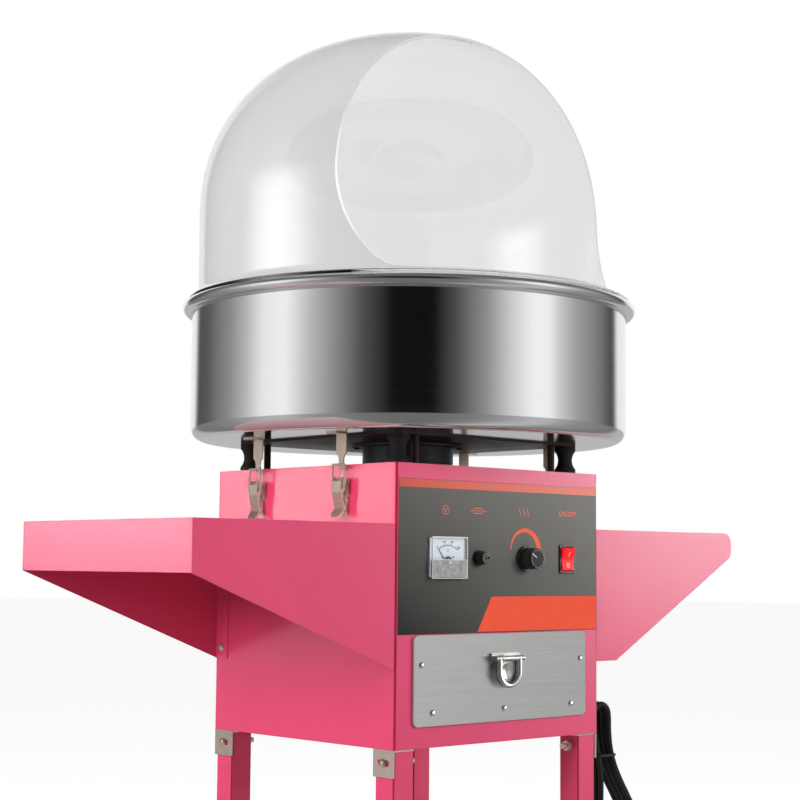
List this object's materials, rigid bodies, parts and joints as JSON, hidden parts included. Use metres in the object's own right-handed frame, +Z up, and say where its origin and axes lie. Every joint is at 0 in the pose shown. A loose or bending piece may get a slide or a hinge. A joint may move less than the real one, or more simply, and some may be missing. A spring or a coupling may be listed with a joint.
{
  "type": "cotton candy machine",
  "caption": "Electric cotton candy machine on a wheeled cart: clear dome with front opening over a steel bowl, floss head, pink cabinet, drawer and side trays.",
  "frame": {"origin": "on the floor, below the axis of the bowl and the floss head", "axes": "+Z up, front with the controls and the drawer towards -Y, wheels on the +X side"},
  "size_m": [0.82, 0.52, 1.3539],
  "materials": {
    "pink_paint": "gloss powder coat",
    "clear_plastic": "clear acrylic",
    "bowl_steel": "satin spun",
    "zinc": "bright plated",
    "head_metal": "satin",
    "heater_metal": "heat darkened",
    "shaft_steel": "ground",
    "brass": "turned",
    "motor_metal": "cast",
    "dark_steel": "dark",
    "rubber": "matt",
    "overlay": "printed film",
    "dial_white": "printed",
    "black_plastic": "moulded",
    "red_plastic": "moulded",
    "board": "laminate",
    "drawer_steel": "brushed along its width",
    "galvanised": "plain sheet",
    "white_plastic": "moulded",
    "tyre": "matt",
    "cord": "satin"
  },
  "bodies": {
    "dome": {"dome": "clear_plastic"},
    "floss_head": {"spindle": "shaft_steel", "slip_rings": "brass", "head_base": "head_metal", "head_heater": "heater_metal", "head_band": "head_metal", "head_cap": "head_metal"},
    "drawer": {"drawer_front": "drawer_steel", "drawer_box": "galvanised", "drawer_screws": "zinc", "pull_bracket": "zinc"},
    "pull_ring": {"pull_ring": "zinc"},
    "meter_needle": {"meter_needle": "black_plastic"},
    "fuse_cap": {"fuse_cap": "black_plastic"},
    "heat_knob": {"heat_knob": "black_plastic"},
    "rocker": {"switch_rocker": "red_plastic"},
    "front_wheel": {"front_wheel_rim": "white_plastic", "front_wheel_tyre": "tyre"},
    "rear_wheel": {"rear_wheel_rim": "white_plastic", "rear_wheel_tyre": "tyre"},
    "lever_left_front": {"lever_left_front": "zinc"},
    "bail_left_front": {"bail_left_front": "zinc"},
    "lever_left_rear": {"lever_left_rear": "zinc"},
    "bail_left_rear": {"bail_left_rear": "zinc"},
    "lever_right_front": {"lever_right_front": "zinc"},
    "bail_right_front": {"bail_right_front": "zinc"},
    "lever_right_rear": {"lever_right_rear": "zinc"},
    "bail_right_rear": {"bail_right_rear": "zinc"},
    "stand": {"bowl": "bowl_steel", "bowl_strikes": "zinc", "brush_block": "black_plastic", "motor": "motor_metal", "support_plate": "dark_steel", "rubber_mounts": "rubber", "cabinet_shell": "pink_paint", "base_plate": "pink_paint", "control_overlay": "overlay", "meter_case": "clear_plastic", "meter_dial": "dial_white", "meter_movement": "black_plastic", "fuse_holder": "black_plastic", "heat_control": "board", "switch_bezel": "black_plastic", "drawer_rails": "galvanised", "left_tray": "pink_paint", "right_tray": "pink_paint", "latch_bases": "zinc", "left_legs": "pink_paint", "right_legs": "pink_paint", "leg_brackets": "zinc", "frame_bolts": "zinc", "lower_shelf": "pink_paint", "feet": "rubber", "axle": "shaft_steel", "axle_caps": "zinc", "cord_gland": "rubber", "cord_lead": "cord", "cord_hank": "cord", "cord_tie": "black_plastic", "plug": "rubber"}
  },
  "joints": [
    {"name": "dome_lift", "type": "slide", "parent": "stand", "child": "dome", "axis": [0, 0, 1], "range_m": [0, 0.3]},
    {"name": "head_spin", "type": "hinge", "parent": "stand", "child": "floss_head", "pos_m": [0, 0, 0.8854], "axis": [0, 0, 1], "continuous": true},
    {"name": "drawer_slide", "type": "slide", "parent": "stand", "child": "drawer", "axis": [0, -1, 0], "range_m": [0, 0.19]},
    {"name": "ring_swing", "type": "hinge", "parent": "drawer", "child": "pull_ring", "pos_m": [0, -0.16215, 0.64851], "axis": [-1, 0, 0], "range_deg": [0, 100]},
    {"name": "needle_swing", "type": "hinge", "parent": "stand", "child": "meter_needle", "pos_m": [-0.086, -0.1566, 0.74549], "axis": [0, 1, 0], "range_deg": [0, 76], "stiffness_Nm_per_rad": 0.0002},
    {"name": "fuse_cap_turn", "type": "hinge", "parent": "stand", "child": "fuse_cap", "pos_m": [-0.037, -0.1566, 0.75494], "axis": [0, -1, 0], "range_deg": [0, 90]},
    {"name": "heat_turn", "type": "hinge", "parent": "stand", "child": "heat_knob", "pos_m": [0.035, -0.1566, 0.75494], "axis": [0, 1, 0], "range_deg": [-90, 210]},
    {"name": "rocker_tilt", "type": "hinge", "parent": "stand", "child": "rocker", "pos_m": [0.102, -0.15002, 0.75494], "axis": [-1, 0, 0], "range_deg": [0, 18]},
    {"name": "front_wheel_roll", "type": "hinge", "parent": "stand", "child": "front_wheel", "pos_m": [0.14, -0.17, 0.15], "axis": [0, 1, 0], "continuous": true},
    {"name": "rear_wheel_roll", "type": "hinge", "parent": "stand", "child": "rear_wheel", "pos_m": [0.14, 0.17, 0.15], "axis": [0, 1, 0], "continuous": true},
    {"name": "lever_left_front_turn", "type": "hinge", "parent": "stand", "child": "lever_left_front", "pos_m": [-0.164, -0.071, 0.83505], "axis": [0, 1, 0], "range_deg": [0, 120]},
    {"name": "bail_left_front_turn", "type": "hinge", "parent": "lever_left_front", "child": "bail_left_front", "pos_m": [-0.166, -0.071, 0.82705], "axis": [0, 1, 0], "range_deg": [-120, 0]},
    {"name": "lever_left_rear_turn", "type": "hinge", "parent": "stand", "child": "lever_left_rear", "pos_m": [-0.164, 0.071, 0.83505], "axis": [0, 1, 0], "range_deg": [0, 120]},
    {"name": "bail_left_rear_turn", "type": "hinge", "parent": "lever_left_rear", "child": "bail_left_rear", "pos_m": [-0.166, 0.071, 0.82705], "axis": [0, 1, 0], "range_deg": [-120, 0]},
    {"name": "lever_right_front_turn", "type": "hinge", "parent": "stand", "child": "lever_right_front", "pos_m": [0.164, -0.071, 0.83505], "axis": [0, -1, 0], "range_deg": [0, 120]},
    {"name": "bail_right_front_turn", "type": "hinge", "parent": "lever_right_front", "child": "bail_right_front", "pos_m": [0.166, -0.071, 0.82705], "axis": [0, -1, 0], "range_deg": [-120, 0]},
    {"name": "lever_right_rear_turn", "type": "hinge", "parent": "stand", "child": "lever_right_rear", "pos_m": [0.164, 0.071, 0.83505], "axis": [0, -1, 0], "range_deg": [0, 120]},
    {"name": "bail_right_rear_turn", "type": "hinge", "parent": "lever_right_rear", "child": "bail_right_rear", "pos_m": [0.166, 0.071, 0.82705], "axis": [0, -1, 0], "range_deg": [-120, 0]}
  ],
  "couplings": [
    {"joint": "bail_left_front_turn", "follows": "lever_left_front_turn", "ratio": -1},
    {"joint": "bail_left_rear_turn", "follows": "lever_left_rear_turn", "ratio": -1},
    {"joint": "bail_right_front_turn", "follows": "lever_right_front_turn", "ratio": -1},
    {"joint": "bail_right_rear_turn", "follows": "lever_right_rear_turn", "ratio": -1}
  ]
}
